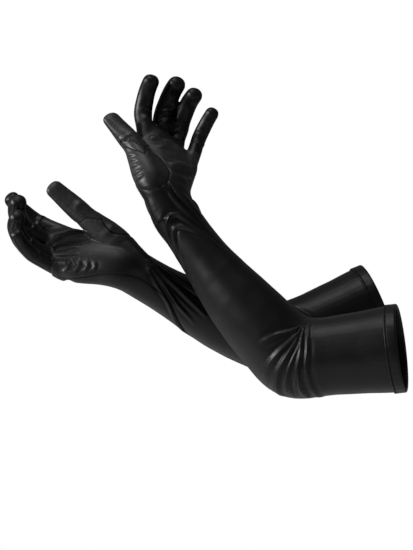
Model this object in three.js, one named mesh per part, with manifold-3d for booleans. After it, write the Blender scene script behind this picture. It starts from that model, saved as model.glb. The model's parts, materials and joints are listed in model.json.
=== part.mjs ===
// A pair of opera gloves in stretch satin, in the shape they take on two raised, crossed arms.
// Each glove is an assembly of cut cloth panels: a folded hem band with its elastic, front and back sleeve
// panels, a palm, a back, a thumb gusset, a front and a back for every finger, and three forked fourchettes
// between fingers. Every panel is a thin closed wall, so the arm and each finger have a real hollow to go into.
// Units are millimetres. +Z is up, +X runs from the hands towards the cuffs, and +Y runs from the left glove
// to the right one.
// The origin is the centre of the left glove's arm opening.
import * as THREE from "three";
import { mergeVertices } from "three/addons/utils/BufferGeometryUtils.js";
import Module from "manifold-3d";

const wasm = await Module();
wasm.setup();

// ---- Cloth ----
const CLOTH = 1.0; // wall of every panel
const SEAM_GAP = 0.4; // clear space between neighbouring panels

// ---- Arm ----
const UPPER_LENGTH = 126; // arm opening to elbow
const FOREARM_LENGTH = 239; // elbow to wrist
const CUFF_RADIUS = 49.6;
const UPPER_RADIUS = 45; // just above the elbow
const WRIST_HALF_WIDTH = 28.5;
const WRIST_HALF_DEPTH = 25;
const ELBOW_REACH = 44; // cloth that bunches at the elbow, each way from the joint
const WRIST_REACH = 20; // the same at the wrist
const BEND_ROUNDNESS = 0.4; // how far a bend runs on straight at each end, as a share of its length
const ELBOW_POINT = 8; // how far the point of the elbow stands out of a plain bend
const FOREARM_BOW = 7; // how far the middle of the forearm hangs out of the straight line
// Radii of the sleeve as [share of the way, radius], from the hem to the elbow and from the elbow to the wrist.
const UPPER_PROFILE = [[0, CUFF_RADIUS], [0.2, 49], [0.5, 47], [1, UPPER_RADIUS]];
const FORE_PROFILE = [[0, 43], [0.12, 41.8], [0.3, 38.3], [0.46, 34], [0.62, 30.8], [0.82, 27.8], [1, 26.5]];
const SLEEVE_ARCS = 10; // facets across half the girth of a sleeve

// ---- Hem ----
const HEM_WIDTH = 14;
const HEM_CLEARANCE = 0.4; // between the folded band and what lies inside it
const HEM_OVERLAP = 5; // how far the sleeve's raw edge goes into the fold
const ELASTIC_WIDTH = 6;
const ELASTIC_THICKNESS = 0.8;

// ---- Hand ----
const PALM_LENGTH = 90; // wrist to the mouth between the finger roots, on the middle line
const PALM_HALF_WIDTH = 39.5;
const KNUCKLE_HALF_DEPTH = 15;
const MOUTH_HALF_DEPTH = 12.5;
const MOUTH_HALF_WIDTH = 38.5;
// Half width and half depth of the hand as [share of the way, size], from the wrist's bunch to the mouth.
const HAND_WIDTHS = [
  [0, WRIST_HALF_WIDTH + 1], [0.3, 34.5], [0.6, 38.5], [0.85, PALM_HALF_WIDTH], [1, MOUTH_HALF_WIDTH],
];
const HAND_DEPTHS = [
  [0, WRIST_HALF_DEPTH - 2], [0.3, 21.5], [0.6, 18.5], [0.85, KNUCKLE_HALF_DEPTH], [1, MOUTH_HALF_DEPTH],
];
const MOUTH_SLANT = 0.19; // the mouth lies this much further out per millimetre towards the index finger
const STALL_START = 4.5; // from a finger's hinge to its own cloth
const FORK_SPREAD = 70; // degrees of a finger's girth that a fourchette covers
const KNUCKLE_ARCS = 4; // facets across half of one finger root
const KNUCKLE_INSET = 14; // degrees by which the cloth round the knuckles stays off a fourchette
const KNUCKLE_GAP = 1.4; // from the cloth round the knuckles to each stall
const CROTCH_DIP = 0.9; // how far a fourchette's crotch lies below the start of the stalls
const CROTCH_NARROWING = 0.6; // a fourchette's width at the crotch, as a share of its width beside the fingers
const HAND_ARCS = 10; // facets across half the hand
const THUMB_ARCS = 6; // facets across half the thumb

// Knuckle places are [along the palm, towards the thumb, out of the palm] from the wrist.
// root is the hinge's distance past the knuckle, bones run from the knuckle to the tip.
const FINGERS = {
  index: { knuckle: [82, 27, 0], root: 16, bones: [43, 25, 23], rootHalf: 9.3, half: 10.2, depth: 9 },
  middle: { knuckle: [84, 7, -3], root: 12, bones: [47, 29, 24], rootHalf: 9.3, half: 10.4, depth: 9.3 },
  ring: { knuckle: [79, -13, -1], root: 12, bones: [44, 28, 24], rootHalf: 9.1, half: 10, depth: 9 },
  little: { knuckle: [71, -31, 4], root: 15, bones: [34, 21, 20], rootHalf: 7.6, half: 8.1, depth: 7.6 },
};
const FINGER_NAMES = Object.keys(FINGERS);
const TIP_JOINT_SHARE = 0.65; // a fingertip joint bends this share of the middle joint

const THUMB = {
  base: [14, 22, 8],
  bones: [59, 49],
  girth: [[0, 12.5], [0.3, 17], [0.55, 16.5], [0.8, 14], [1, 12.5]], // half sizes along the gusset
  half: 11.2,
  depth: 10.2,
  gussetEnd: 0.88, // share of the first bone that the gusset covers
  stallStart: 5,
};

// ---- Pose of each glove, in degrees ----
// turn is away from the front, rise is round from +X towards +Z, roll turns the palm about the hand's length.
const GLOVES = [
  {
    name: "left",
    side: 1,
    cuff: [0, 0, 0],
    upper: { turn: 11, rise: -173 },
    forearm: { turn: 9, rise: 128.5 },
    hand: { turn: 36, rise: 90.5, roll: 25 },
    fingers: {
      index: { spread: 8, knuckle: 2, joint: 43 },
      middle: { spread: 1, knuckle: 4, joint: 50 },
      ring: { spread: -4, knuckle: 4, joint: 53 },
      little: { spread: -13, knuckle: 8, joint: 40 },
    },
    thumb: { base: [24, -3], end: [42, -3] },
  },
  {
    name: "right",
    side: -1,
    cuff: [-13, 181, 49],
    upper: { turn: -5, rise: -157.5 },
    forearm: { turn: -27, rise: 154 },
    hand: { turn: 14, rise: 167, roll: 41 },
    fingers: {
      index: { spread: 8, knuckle: 3, joint: 31 },
      middle: { spread: 1, knuckle: 22, joint: 52 },
      ring: { spread: -5, knuckle: 24, joint: 51 },
      little: { spread: -9, knuckle: 34, joint: 24 },
    },
    thumb: { base: [12, 31], end: [12, 32] },
  },
];

// ---- Materials ----
const satin = new THREE.MeshStandardMaterial({ color: 0x0d0d0f, roughness: 0.38, metalness: 0 });
const hemSatin = new THREE.MeshStandardMaterial({ color: 0x0b0b0d, roughness: 0.45, metalness: 0 });
const elasticKnit = new THREE.MeshStandardMaterial({ color: 0x141416, roughness: 0.8, metalness: 0 });

// ---- Small tools ----
const X_AXIS = new THREE.Vector3(1, 0, 0);
const rad = THREE.MathUtils.degToRad;
const mix = THREE.MathUtils.lerp;
const ease = (t) => THREE.MathUtils.smoothstep(t, 0, 1);

function heading(turn, rise) {
  const [t, r] = [rad(turn), rad(rise)];
  return new THREE.Vector3(Math.cos(t) * Math.cos(r), Math.sin(t), Math.cos(t) * Math.sin(r));
}

const cross = (a, b) => new THREE.Vector3().crossVectors(a, b);

function along(start, direction, distance) {
  return start.clone().addScaledVector(direction, distance);
}

// The part of a direction that is square to an axis, at length 1.
function squareTo(direction, axis) {
  return direction.clone().addScaledVector(axis, -direction.dot(axis)).normalize();
}

// A value read from [share, value] pairs, eased between them.
function profile(pairs, share) {
  const next = pairs.findIndex(([at]) => at >= share);
  if (next < 0) return pairs.at(-1)[1];
  if (next === 0) return pairs[0][1];
  const [[a, va], [b, vb]] = [pairs[next - 1], pairs[next]];
  return mix(va, vb, (share - a) / (b - a));
}

// ---- Solids ----
// A closed mesh from points and triangles, turned so that it faces outwards.
function solid(points, triangles) {
  const geometry = new THREE.BufferGeometry();
  geometry.setAttribute("position", new THREE.Float32BufferAttribute(points.flatMap((p) => p.toArray()), 3));
  const volume = triangles.reduce(
    (sum, [a, b, c]) => sum + points[a].dot(cross(points[b], points[c])),
    0,
  );
  geometry.setIndex(triangles.flatMap(([a, b, c]) => (volume < 0 ? [a, c, b] : [a, b, c])));
  return geometry;
}

// Two triangles for each cell of a grid of rows and columns, optionally closed round either way.
function gridFaces(rows, columns, roundRows, roundColumns) {
  const faces = [];
  const at = (i, j) => (i % rows) * columns + (j % columns);
  for (let i = 0; i < (roundRows ? rows : rows - 1); i++)
    for (let j = 0; j < (roundColumns ? columns : columns - 1); j++)
      faces.push([at(i, j), at(i + 1, j), at(i + 1, j + 1)], [at(i, j), at(i + 1, j + 1), at(i, j + 1)]);
  return faces;
}

// A wall between two grids of points with the same rows and columns: outer skin, inner skin and its rim.
function wall(outer, inner, roundColumns = false) {
  const [rows, columns] = [outer.length, outer[0].length];
  const points = [...outer.flat(), ...inner.flat()];
  const inside = rows * columns;
  const at = (i, j) => i * columns + (j % columns);
  const faces = gridFaces(rows, columns, false, roundColumns);
  const all = [...faces, ...faces.map(([a, b, c]) => [a + inside, c + inside, b + inside])];
  const rim = (a, b) => all.push([b, a, a + inside], [b, a + inside, b + inside]);
  for (let j = 0; j < (roundColumns ? columns : columns - 1); j++) {
    rim(at(0, j + 1), at(0, j));
    rim(at(rows - 1, j), at(rows - 1, j + 1));
  }
  if (!roundColumns)
    for (let i = 0; i < rows - 1; i++) {
      rim(at(i, 0), at(i + 1, 0));
      rim(at(i + 1, columns - 1), at(i, columns - 1));
    }
  return solid(points, all);
}

function toManifold(geometry) {
  const bare = new THREE.BufferGeometry().setAttribute("position", geometry.getAttribute("position"));
  bare.setIndex(geometry.index);
  const merged = mergeVertices(bare, 1e-4);
  return new wasm.Manifold(
    new wasm.Mesh({
      numProp: 3,
      vertProperties: merged.attributes.position.array,
      triVerts: new Uint32Array(merged.index.array),
    }),
  );
}

// The geometry of a manifold's largest body.
function fromManifold(manifold) {
  const largest = manifold.decompose().reduce((a, b) => (a.volume() > b.volume() ? a : b));
  const mesh = largest.getMesh();
  const geometry = new THREE.BufferGeometry();
  geometry.setAttribute("position", new THREE.BufferAttribute(mesh.vertProperties, 3));
  geometry.setIndex(new THREE.BufferAttribute(mesh.triVerts, 1));
  return geometry;
}

const cut = (geometry, tool) => fromManifold(toManifold(geometry).subtract(toManifold(tool)));

// ---- Rings ----
// A ring is one oval section of a tube: its centre, the tube's axis there, its two half sizes and their directions.
// lean is how far the cloth's own normal tips towards the axis, in degrees: 0 on a straight tube, near 90 at a tip.
function ring(centre, axis, across, through, halfAcross, halfThrough, lean = 0) {
  return { centre, axis, across, through, halfAcross, halfThrough, lean };
}

// The point of a ring at an angle, that deep under the outer skin. Angle 0 is across, 90 is through.
function onRing(r, angle, depth) {
  const [a, l] = [rad(angle), rad(r.lean)];
  const inward = depth * Math.cos(l);
  return along(r.centre, r.axis, -depth * Math.sin(l))
    .addScaledVector(r.across, (r.halfAcross - inward) * Math.cos(a))
    .addScaledVector(r.through, (r.halfThrough - inward) * Math.sin(a));
}

// Half a seam gap as an angle on a ring, at that depth.
function seamAngle(r, depth) {
  const small = Math.min(r.halfAcross, r.halfThrough) - depth * Math.cos(rad(r.lean));
  return THREE.MathUtils.radToDeg(Math.min(0.5, SEAM_GAP / 2 / small));
}

// A panel of cloth over the part of a tube's girth between two angles, drawn in from its seams.
// Each ring's own taper draws the panel's edges back out towards 0 and 180 degrees.
function panel(rings, from, to, arcs) {
  const skin = (depth) =>
    rings.map((r) => {
      const seam = seamAngle(r, depth);
      const edge = (angle) => mix(Math.round(angle / 180) * 180, angle, r.fork ?? 1);
      return Array.from({ length: arcs + 1 }, (_, j) =>
        onRing(r, mix(edge(from) + seam, edge(to) - seam, j / arcs), depth),
      );
    });
  return wall(skin(0), skin(CLOTH));
}

// A whole tube of cloth, open at both ends.
function tube(rings, sides) {
  const skin = (depth) =>
    rings.map((r) => Array.from({ length: sides }, (_, j) => onRing(r, (360 * j) / sides, depth)));
  return wall(skin(0), skin(CLOTH), true);
}

// The full body inside a tube's outer skin, grown by some clearance, for cutting.
function filled(rings, sides, grow) {
  const points = rings.flatMap((r) =>
    Array.from({ length: sides }, (_, j) => onRing({ ...r, lean: 0 }, (360 * j) / sides, -grow)),
  );
  const faces = gridFaces(rings.length, sides, false, true);
  const [first, last] = [points.length, points.length + 1];
  points.push(rings[0].centre.clone(), rings.at(-1).centre.clone());
  const lastRow = (rings.length - 1) * sides;
  for (let j = 0; j < sides; j++) {
    const k = (j + 1) % sides;
    faces.push([first, j, k], [last, lastRow + k, lastRow + j]);
  }
  return solid(points, faces);
}

// A closed outline of [radius, distance along the axis] points carried round a ring.
function band(r, outline, sides) {
  const points = Array.from({ length: sides }, (_, i) => {
    const a = rad((360 * i) / sides);
    return outline.map(([radius, distance]) =>
      along(r.centre, r.axis, distance)
        .addScaledVector(r.across, radius * Math.cos(a))
        .addScaledVector(r.through, radius * Math.sin(a)),
    );
  });
  return solid(points.flat(), gridFaces(sides, outline.length, true, true));
}

// ---- Skeleton of one glove ----
function skeleton(glove) {
  const { side } = glove;
  const cuff = new THREE.Vector3(...glove.cuff);
  const upper = heading(glove.upper.turn, glove.upper.rise);
  const forearm = heading(glove.forearm.turn, glove.forearm.rise);
  const elbow = along(cuff, upper, UPPER_LENGTH);
  const wrist = along(elbow, forearm, FOREARM_LENGTH);

  const length = heading(glove.hand.turn, glove.hand.rise);
  const palm = squareTo(new THREE.Vector3(0, -1, 0), length).applyAxisAngle(length, rad(glove.hand.roll));
  const thumbward = cross(palm, length).multiplyScalar(side);

  const acrossOf = (through, axis) => cross(through, axis).multiplyScalar(side).normalize();
  const upperThrough = squareTo(forearm, upper);
  const foreThrough = squareTo(upper.clone().negate(), forearm);
  const palmAtWrist = squareTo(palm, forearm);
  const twist = Math.atan2(cross(foreThrough, palmAtWrist).dot(forearm), foreThrough.dot(palmAtWrist));
  return {
    side, cuff, upper, forearm, elbow, wrist, length, palm, thumbward, acrossOf, upperThrough, foreThrough, twist,
  };
}

// ---- Sleeve ----
function upperRings(bones) {
  const { cuff, upper, upperThrough, acrossOf } = bones;
  const [start, end] = [HEM_WIDTH - HEM_OVERLAP, UPPER_LENGTH - ELBOW_REACH];
  const across = acrossOf(upperThrough, upper);
  return [0, 0.07, 0.3, 0.65, 1].map((share) => {
    const radius = share < 0.08 ? CUFF_RADIUS : profile(UPPER_PROFILE, share);
    return ring(along(cuff, upper, mix(start, end, share)), upper, across, upperThrough, radius, radius);
  });
}

function forearmRing(bones, share) {
  const { elbow, forearm, foreThrough, twist, acrossOf } = bones;
  const [start, end] = [ELBOW_REACH, FOREARM_LENGTH - WRIST_REACH];
  const through = foreThrough.clone().applyAxisAngle(forearm, twist * ease(share));
  const radius = profile(FORE_PROFILE, share);
  const oval = profile([[0.5, 0], [1, 1]], share);
  const distance = mix(start, end, share);
  const phase = (Math.PI * distance) / FOREARM_LENGTH;
  const slope = ((-FOREARM_BOW * Math.PI) / FOREARM_LENGTH) * Math.cos(phase);
  const axis = along(forearm, foreThrough, slope).normalize();
  return ring(
    along(elbow, forearm, distance).addScaledVector(foreThrough, -FOREARM_BOW * Math.sin(phase)),
    axis,
    acrossOf(through, axis),
    squareTo(through, axis),
    mix(radius, WRIST_HALF_WIDTH, oval),
    mix(radius, WRIST_HALF_DEPTH, oval),
  );
}

// Rings that carry one ring over to another along a smooth bend.
// point is how far the outside of the bend stands out further.
function bendRings(from, to, steps, side, point = 0) {
  const [start, end] = [along(from.centre, from.axis, SEAM_GAP), along(to.centre, to.axis, -SEAM_GAP)];
  const reach = BEND_ROUNDNESS * start.distanceTo(end);
  const curve = new THREE.CubicBezierCurve3(
    start, along(start, from.axis, reach), along(end, to.axis, -reach), end,
  );
  return Array.from({ length: steps + 1 }, (_, i) => {
    const t = i / steps;
    const axis = curve.getTangent(t).normalize();
    const through = squareTo(from.through.clone().lerp(to.through, t), axis);
    const grow = (point / 2) * Math.sin(Math.PI * t) ** 2;
    return ring(
      along(curve.getPoint(t), through, -grow),
      axis,
      cross(through, axis).multiplyScalar(side),
      through,
      mix(from.halfAcross, to.halfAcross, t),
      mix(from.halfThrough, to.halfThrough, t) + grow,
    );
  });
}

// ---- Hand ----
function handRing(bones, share) {
  const { wrist, length, palm, thumbward, side } = bones;
  const slant = MOUTH_SLANT * ease(share);
  const across = thumbward.clone().addScaledVector(length, slant).normalize();
  const halfAcross = profile(HAND_WIDTHS, share);
  const halfThrough = profile(HAND_DEPTHS, share);
  const centre = along(wrist, length, mix(WRIST_REACH, PALM_LENGTH, share));
  return ring(centre, cross(across, palm).multiplyScalar(side), across, palm, halfAcross, halfThrough);
}

function inHand(bones, [out, thumbwards, palmwards]) {
  return along(bones.wrist, bones.length, out)
    .addScaledVector(bones.thumbward, thumbwards)
    .addScaledVector(bones.palm, palmwards);
}

// ---- Finger stalls ----
// The hinge, the plane it bends in, and the tube's rings from the root to the closed tip.
function stall(start, straight, bend, flexions, bones, startAt, half, side) {
  const across = cross(bend, straight).multiplyScalar(side).normalize();
  const direction = (angle) =>
    straight.clone().multiplyScalar(Math.cos(rad(angle))).addScaledVector(bend, Math.sin(rad(angle)));
  const corners = [start.clone()];
  const headings = [];
  let angle = 0;
  bones.forEach((bone, i) => {
    angle += flexions[i];
    headings.push(direction(angle));
    corners.push(along(corners.at(-1), headings[i], bone));
  });
  const curve = new THREE.CurvePath();
  const softness = 0.36; // how much of each bone the bend at its ends takes up
  corners.slice(0, -1).forEach((corner, i) => {
    const from = i ? along(corner, headings[i], bones[i] * softness) : corner;
    const last = i === bones.length - 1;
    const to = last ? corners[i + 1] : along(corners[i + 1], headings[i], -bones[i] * softness);
    curve.add(new THREE.LineCurve3(from, to));
    if (!last)
      curve.add(
        new THREE.QuadraticBezierCurve3(
          to, corners[i + 1], along(corners[i + 1], headings[i + 1], bones[i + 1] * softness),
        ),
      );
  });
  const total = curve.getLength();
  const dome = Math.min(half.depth, half.half) * 1.15; // length of the rounded tip
  const at = (distance, shrink, lean) => {
    const share = Math.min(1, distance / total);
    const axis = curve.getTangentAt(share).normalize();
    const through = cross(axis, across).multiplyScalar(side);
    const grown = ease(Math.min(1, (distance - startAt) / 22));
    return ring(
      curve.getPointAt(share),
      axis,
      across,
      through,
      mix(half.rootHalf, half.half, grown) * shrink,
      mix(half.rootHalf * 0.97, half.depth, grown) * shrink,
      lean,
    );
  };
  const straightRings = 6;
  const rings = Array.from({ length: straightRings + 1 }, (_, i) =>
    at(mix(startAt, total - dome, i / straightRings), 1, 0),
  );
  // A fourchette narrows to a point over the rounded tip.
  const tip = [[35, 0.85], [60, 0.5], [86, 0]];
  tip.forEach(([lean, fork]) =>
    rings.push({ ...at(total - dome * (1 - Math.sin(rad(lean))), Math.cos(rad(lean)), lean), fork }),
  );
  return { rings, across, hinge: start, axisOfBend: cross(straight, bend).normalize() };
}

function fingerStall(bones, glove, name) {
  const size = FINGERS[name];
  const pose = glove.fingers[name];
  const spread = rad(pose.spread);
  const straight = bones.length.clone().multiplyScalar(Math.cos(spread));
  straight.addScaledVector(bones.thumbward, Math.sin(spread));
  const first = straight.clone().multiplyScalar(Math.cos(rad(pose.knuckle)));
  first.addScaledVector(bones.palm, Math.sin(rad(pose.knuckle)));
  const root = along(inHand(bones, size.knuckle), first, size.root);
  const [proximal, middle, tip] = size.bones;
  const flexions = [pose.knuckle, pose.joint, pose.joint * TIP_JOINT_SHARE];
  return stall(
    root, straight, bones.palm, flexions, [proximal - size.root, middle, tip], STALL_START, size, bones.side,
  );
}

function thumbBones(bones, glove) {
  const aim = ([outward, palmward]) =>
    bones.length.clone().multiplyScalar(Math.cos(rad(palmward)) * Math.cos(rad(outward)))
      .addScaledVector(bones.thumbward, Math.cos(rad(palmward)) * Math.sin(rad(outward)))
      .addScaledVector(bones.palm, Math.sin(rad(palmward)));
  const base = inHand(bones, THUMB.base);
  const first = aim(glove.thumb.base);
  const second = aim(glove.thumb.end);
  return { base, first, second, hinge: along(base, first, THUMB.bones[0]) };
}

function gussetRings(bones, thumb) {
  const { base, first } = thumb;
  const palmSide = squareTo(bones.palm, first);
  const across = cross(palmSide, first).multiplyScalar(bones.side);
  const end = THUMB.bones[0] * THUMB.gussetEnd;
  return [0, 0.3, 0.55, 0.8, 1].map((share) =>
    ring(
      along(base, first, end * share),
      first,
      across,
      palmSide,
      profile(THUMB.girth, share),
      profile(THUMB.girth, share),
    ),
  );
}

function thumbStall(bones, thumb) {
  const closing = squareTo(bones.length.clone().add(bones.palm), thumb.second);
  const palmSide = squareTo(bones.palm, thumb.second);
  const size = { rootHalf: THUMB.half, half: THUMB.half, depth: THUMB.depth };
  const made = stall(
    thumb.hinge, thumb.second, palmSide, [0, 0], [THUMB.bones[1] * 0.55, THUMB.bones[1] * 0.45],
    THUMB.stallStart, size, bones.side,
  );
  return { ...made, axisOfBend: cross(thumb.second, closing).normalize() };
}

// The cloth round all four finger roots, from the mouth of the palm to where the stalls begin.
function knuckleBunch(mouth, stalls) {
  const inset = FORK_SPREAD / 2 + KNUCKLE_INSET;
  const last = stalls.length - 1;
  const corners = stalls.flatMap((_, i) => {
    const from = i ? inset : 0;
    const to = i === last ? 180 : 180 - inset;
    return Array.from({ length: KNUCKLE_ARCS + 1 }, (_, j) => [i, mix(from, to, j / KNUCKLE_ARCS)]);
  });
  const mirrored = corners.slice(1, -1).reverse().map(([i, angle]) => [i, 360 - angle]);
  const round = [...corners, ...mirrored];
  const start = { ...mouth, centre: along(mouth.centre, mouth.axis, SEAM_GAP) };
  const ends = stalls.map(({ rings: [first] }) => ({
    ...first, centre: along(first.centre, first.axis, -KNUCKLE_GAP),
  }));
  const skin = (depth) => {
    const far = round.map(([i, angle]) => onRing(ends[i], angle, depth));
    const near = far.map((p) => {
      const out = p.clone().sub(start.centre);
      const across = out.dot(start.across) / start.halfAcross;
      const through = out.dot(start.through) / start.halfThrough;
      return onRing(start, THREE.MathUtils.radToDeg(Math.atan2(through, across)), depth);
    });
    return [near, far];
  };
  return wall(skin(0), skin(CLOTH), true);
}

// A forked strip: down one finger's side, round the crotch and up the next finger's side.
function fourchette(near, far, bones) {
  const halfSpread = FORK_SPREAD / 2;
  const widths = [-1, 0, 1];
  const row = (r, middleAngle, sign, depth) =>
    widths.map((w) =>
      onRing(r, middleAngle + sign * w * (halfSpread * (r.fork ?? 1) - seamAngle(r, depth)), depth),
    );
  const skin = (depth) => {
    const down = near.rings.slice(0, -1).reverse().map((r) => row(r, 180, -1, depth));
    const up = far.rings.slice(0, -1).map((r) => row(r, 0, 1, depth));
    const dip = CROTCH_DIP + depth;
    const middle = down.at(-1).map((p, i) => p.clone().lerp(up[0][i], 0.5).addScaledVector(bones.length, -dip));
    const crotch = middle.map((p) => middle[1].clone().lerp(p, CROTCH_NARROWING));
    return [...down, crotch, ...up];
  };
  return wall(skin(0), skin(CLOTH));
}

// ---- Assembly ----
const pair = new THREE.Group();

function piece(name, geometry, holder, material = satin) {
  const mesh = new THREE.Mesh(geometry, material);
  mesh.name = name;
  pair.add(mesh);
  holder.attach(mesh);
}

// A group that turns its pieces about its own X axis.
function joint(name, holder, pivot, axis) {
  const group = new THREE.Group();
  group.name = name;
  group.position.copy(pivot);
  group.quaternion.setFromUnitVectors(X_AXIS, axis);
  pair.add(group);
  holder.attach(group);
  group.updateMatrixWorld(true);
  return group;
}

function addHem(name, bones, holder) {
  const { cuff, upper, upperThrough, acrossOf } = bones;
  const edge = ring(cuff, upper, acrossOf(upperThrough, upper), upperThrough, CUFF_RADIUS, CUFF_RADIUS);
  const outside = CUFF_RADIUS + HEM_CLEARANCE + CLOTH;
  const inside = CUFF_RADIUS - CLOTH - HEM_CLEARANCE - CLOTH;
  const fold = [
    [outside, 0], [outside, HEM_WIDTH], [outside - CLOTH, HEM_WIDTH], [outside - CLOTH, CLOTH],
    [inside + CLOTH, CLOTH], [inside + CLOTH, HEM_WIDTH], [inside, HEM_WIDTH], [inside, 0],
  ];
  piece(`${name}_hem_band`, band(edge, fold, 2 * SLEEVE_ARCS), holder, hemSatin);
  const middle = CUFF_RADIUS - CLOTH / 2;
  const [low, high] = [middle - ELASTIC_THICKNESS / 2, middle + ELASTIC_THICKNESS / 2];
  const [near, far] = [CLOTH + HEM_CLEARANCE, CLOTH + HEM_CLEARANCE + ELASTIC_WIDTH];
  const strip = [[low, near], [high, near], [high, far], [low, far]];
  piece(`${name}_hem_elastic`, band(edge, strip, 2 * SLEEVE_ARCS), holder, elasticKnit);
}

function addFrontAndBack(name, rings, holder, arcs) {
  piece(`${name}_front`, panel(rings, 0, 180, arcs), holder);
  piece(`${name}_back`, panel(rings, 180, 360, arcs), holder);
}

function addFingers(glove, bones, hand, mouth) {
  const halfSpread = FORK_SPREAD / 2;
  const stalls = FINGER_NAMES.map((name) => fingerStall(bones, glove, name));
  piece(`${glove.name}_knuckle_bunch`, knuckleBunch(mouth, stalls), hand);
  FINGER_NAMES.forEach((finger, i) => {
    const made = stalls[i];
    const name = `${glove.name}_${finger}`;
    const holder = joint(`${name}_hinge`, hand, made.hinge, made.axisOfBend);
    const thumbSide = i === 0 ? 0 : halfSpread;
    const littleSide = i === FINGER_NAMES.length - 1 ? 0 : halfSpread;
    piece(`${name}_front`, panel(made.rings, thumbSide, 180 - littleSide, 4), holder);
    piece(`${name}_back`, panel(made.rings, 180 + littleSide, 360 - thumbSide, 4), holder);
    if (i) {
      const strip = fourchette(stalls[i - 1], made, bones);
      piece(`${glove.name}_fourchette_${FINGER_NAMES[i - 1]}_${finger}`, strip, hand);
    }
  });
}

function addThumb(glove, bones, hand, wristAndHand) {
  const thumb = thumbBones(bones, glove);
  const gusset = gussetRings(bones, thumb);
  const made = thumbStall(bones, thumb);
  const bunch = bendRings(gusset.at(-1), made.rings[0], 3, bones.side);
  const handBody = filled(wristAndHand, 2 * HAND_ARCS, SEAM_GAP);
  piece(`${glove.name}_thumb_gusset`, cut(tube(gusset, 2 * THUMB_ARCS), handBody), hand);
  piece(`${glove.name}_thumb_bunch`, cut(tube(bunch, 2 * THUMB_ARCS), handBody), hand);
  const holder = joint(`${glove.name}_thumb_hinge`, hand, made.hinge, made.axisOfBend);
  addFrontAndBack(`${glove.name}_thumb`, made.rings, holder, THUMB_ARCS);
  return filled([...gusset, ...bunch], 2 * THUMB_ARCS, SEAM_GAP);
}

function addGlove(glove) {
  const bones = skeleton(glove);
  const { name, side } = glove;

  const upperSleeve = joint(`${name}_upper_sleeve`, pair, bones.cuff, X_AXIS);
  const upper = upperRings(bones);
  addHem(name, bones, upperSleeve);
  addFrontAndBack(`${name}_upper_sleeve`, upper, upperSleeve, SLEEVE_ARCS);

  const elbowAxis = cross(bones.forearm, bones.upper.clone().negate()).normalize();
  const forearm = joint(`${name}_elbow_hinge`, upperSleeve, bones.elbow, elbowAxis);
  const fore = [0, 0.15, 0.3, 0.45, 0.6, 0.75, 0.88, 1].map((share) => forearmRing(bones, share));
  addFrontAndBack(`${name}_forearm_sleeve`, fore, forearm, SLEEVE_ARCS);
  piece(`${name}_elbow_bunch`, tube(bendRings(upper.at(-1), fore[0], 6, side, ELBOW_POINT), 18), forearm);

  const wristAxis = cross(bones.length, bones.palm).normalize();
  const hand = joint(`${name}_wrist_hinge`, forearm, bones.wrist, wristAxis);
  const handRings = [0, 0.2, 0.4, 0.6, 0.8, 1].map((share) => handRing(bones, share));
  const wristRings = bendRings(fore.at(-1), handRings[0], 4, side);
  piece(`${name}_wrist_bunch`, tube(wristRings, 2 * HAND_ARCS), hand);

  const thumbHole = addThumb(glove, bones, hand, [...wristRings, ...handRings]);
  piece(`${name}_palm`, cut(panel(handRings, 0, 180, HAND_ARCS), thumbHole), hand);
  piece(`${name}_hand_back`, cut(panel(handRings, 180, 360, HAND_ARCS), thumbHole), hand);
  addFingers(glove, bones, hand, handRings.at(-1));
}

GLOVES.forEach(addGlove);

export default pair;
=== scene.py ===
"""A pair of black satin opera gloves in the shape of two raised arms that cross.

Every glove is one skin of satin, made from the lofted volumes of its arm, hand and fingers. It is creased
where the cloth gathers and cut near the joints. Lengths are millimetres until a mesh is made, and metres from
there on.
"""
import json
import math
from collections import namedtuple

import bmesh
import bpy
import numpy as np
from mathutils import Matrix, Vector, noise
from mathutils.bvhtree import BVHTree

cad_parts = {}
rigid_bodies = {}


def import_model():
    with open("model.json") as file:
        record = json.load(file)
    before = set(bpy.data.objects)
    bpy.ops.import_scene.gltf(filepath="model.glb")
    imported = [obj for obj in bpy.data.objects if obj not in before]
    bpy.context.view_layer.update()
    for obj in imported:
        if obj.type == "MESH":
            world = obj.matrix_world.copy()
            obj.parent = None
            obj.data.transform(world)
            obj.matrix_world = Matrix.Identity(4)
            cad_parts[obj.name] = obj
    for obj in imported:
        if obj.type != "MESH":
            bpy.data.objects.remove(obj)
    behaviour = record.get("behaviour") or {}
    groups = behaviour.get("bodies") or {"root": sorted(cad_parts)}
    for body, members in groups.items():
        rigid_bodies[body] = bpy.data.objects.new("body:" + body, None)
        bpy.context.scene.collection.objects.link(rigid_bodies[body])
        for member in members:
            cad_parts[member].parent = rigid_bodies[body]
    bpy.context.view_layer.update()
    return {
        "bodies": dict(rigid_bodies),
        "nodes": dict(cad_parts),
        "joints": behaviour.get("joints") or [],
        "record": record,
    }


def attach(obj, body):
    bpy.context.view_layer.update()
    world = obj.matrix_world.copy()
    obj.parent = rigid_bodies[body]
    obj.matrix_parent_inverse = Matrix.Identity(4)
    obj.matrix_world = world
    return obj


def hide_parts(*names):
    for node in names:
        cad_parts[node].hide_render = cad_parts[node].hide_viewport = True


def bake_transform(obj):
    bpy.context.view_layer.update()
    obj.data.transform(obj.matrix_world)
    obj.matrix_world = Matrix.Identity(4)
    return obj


MM = 0.001
ROOM_LIGHT = 0.1

# ---- Cloth ----
SATIN_THICKNESS = 0.6
SKIN_CELL = 1.0  # spacing of the skin's mesh
SLACK = 0.22  # how far the loose cloth waves in and out
SLACK_SIZE = 38  # and how wide those waves are
SWELL_WIDTH = 8  # a fold this wide is a plain swelling with no hollow beside it
STRETCH_SHEEN_DARK = (0.012, 0.0112, 0.0112)  # the satin's colours where it is pulled tight over the hand, paler partly from the stretch and partly as painted sheen where it faces the light
STRETCH_SHEEN_LIGHT = (0.044, 0.041, 0.041)
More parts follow.
